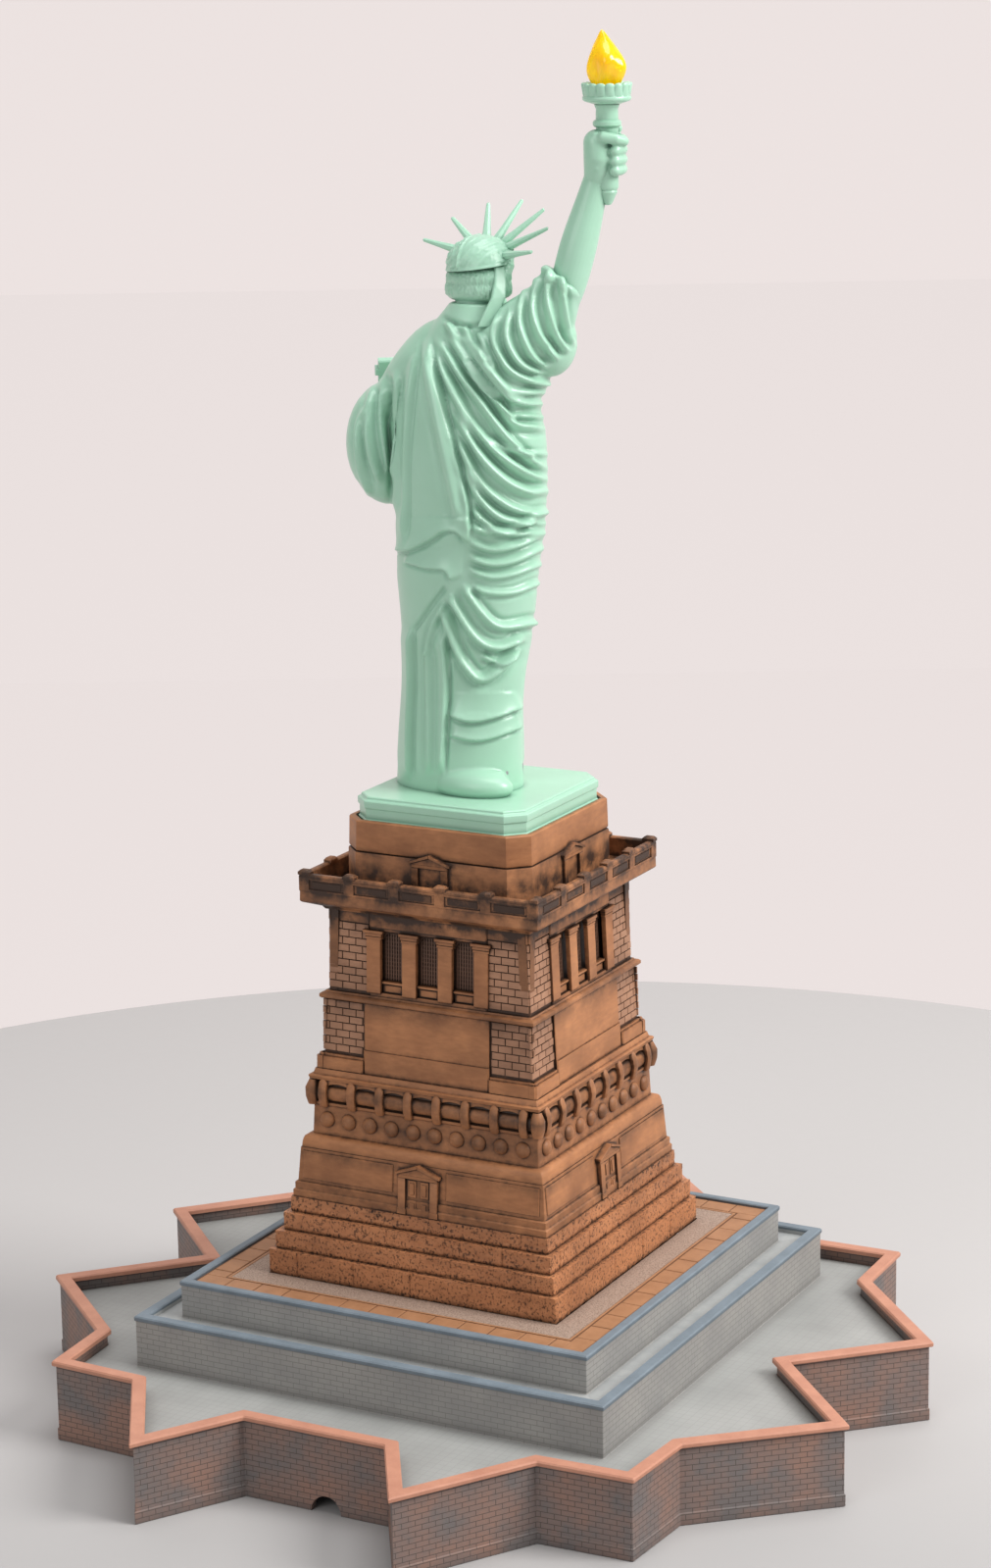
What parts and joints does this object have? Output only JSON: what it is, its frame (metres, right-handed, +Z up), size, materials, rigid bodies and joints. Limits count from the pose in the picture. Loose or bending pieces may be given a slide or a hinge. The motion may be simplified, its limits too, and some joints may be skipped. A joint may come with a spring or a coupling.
{
  "type": "miniature landmark model",
  "caption": "Lit miniature of a robed, torch-bearing figure on a copper-coloured pedestal, square terraces and a star-shaped wall, with a lift-off amber flame.",
  "frame": {"origin": "middle of the star wall's underside, on the surface it stands on", "axes": "+Z up; the figure faces -Y, its raised arm is on the -X side and its tablet on the +X side"},
  "size_m": [0.346, 0.35, 0.524],
  "materials": {
    "star_masonry": "painted fine brick with a salmon coping",
    "star_paving": "painted grey paving grid",
    "terrace_masonry": "painted grey brick with a blue-grey coping",
    "plaza": "tan tiles round a speckled strip",
    "copper_wash": "copper-brown paint with a dark wash",
    "grille": "dark brown",
    "verdigris": "satin-gloss mint green",
    "amber": "clear amber",
    "lamp_lens": "clear lens",
    "black_plastic": "moulded",
    "dark_plastic": "moulded",
    "board": "solder-masked",
    "lead_sheath": "flexible",
    "steel": "plated"
  },
  "bodies": {
    "base": {"star_wall": "star_masonry", "star_deck": "star_paving", "deck_standoffs": "dark_plastic", "base_plate": "dark_plastic", "base_screws": "steel", "inlet_board": "board", "power_jack": "black_plastic", "lead_terminal": "black_plastic", "base_lead": "lead_sheath", "lower_terrace": "terrace_masonry", "upper_terrace": "terrace_masonry", "terrace_screws": "steel", "plaza_tiles": "plaza", "foundation_steps": "copper_wash", "pedestal_screws": "steel", "lower_storey": "copper_wash", "shield_course": "copper_wash", "shaft_lower": "copper_wash", "shaft_upper": "copper_wash", "window_grilles": "grille", "balcony": "copper_wash", "attic_block": "copper_wash", "statue_socket": "black_plastic"},
    "statue": {"plinth": "verdigris", "robe_screws": "steel", "robe_front": "verdigris", "robe_back": "verdigris", "head": "verdigris", "right_arm": "verdigris", "left_arm": "verdigris", "tablet": "verdigris", "torch_handle": "verdigris", "torch_gallery": "verdigris", "lamp_holder": "black_plastic", "lamp": "lamp_lens", "statue_plug": "black_plastic", "statue_lead": "lead_sheath"},
    "crown": {"crown_cap": "verdigris", "crown_rays": "verdigris"},
    "flame_cover": {"flame": "amber"}
  },
  "joints": [
    {"name": "statue_lift", "type": "slide", "parent": "base", "child": "statue", "axis": [0, 0, 1], "range_m": [0, 0.03]},
    {"name": "crown_lift", "type": "slide", "parent": "statue", "child": "crown", "axis": [0.1079, 0.057, 0.9925], "range_m": [0, 0.012]},
    {"name": "flame_lift", "type": "slide", "parent": "statue", "child": "flame_cover", "axis": [0, 0, 1], "range_m": [0, 0.025]}
  ]
}
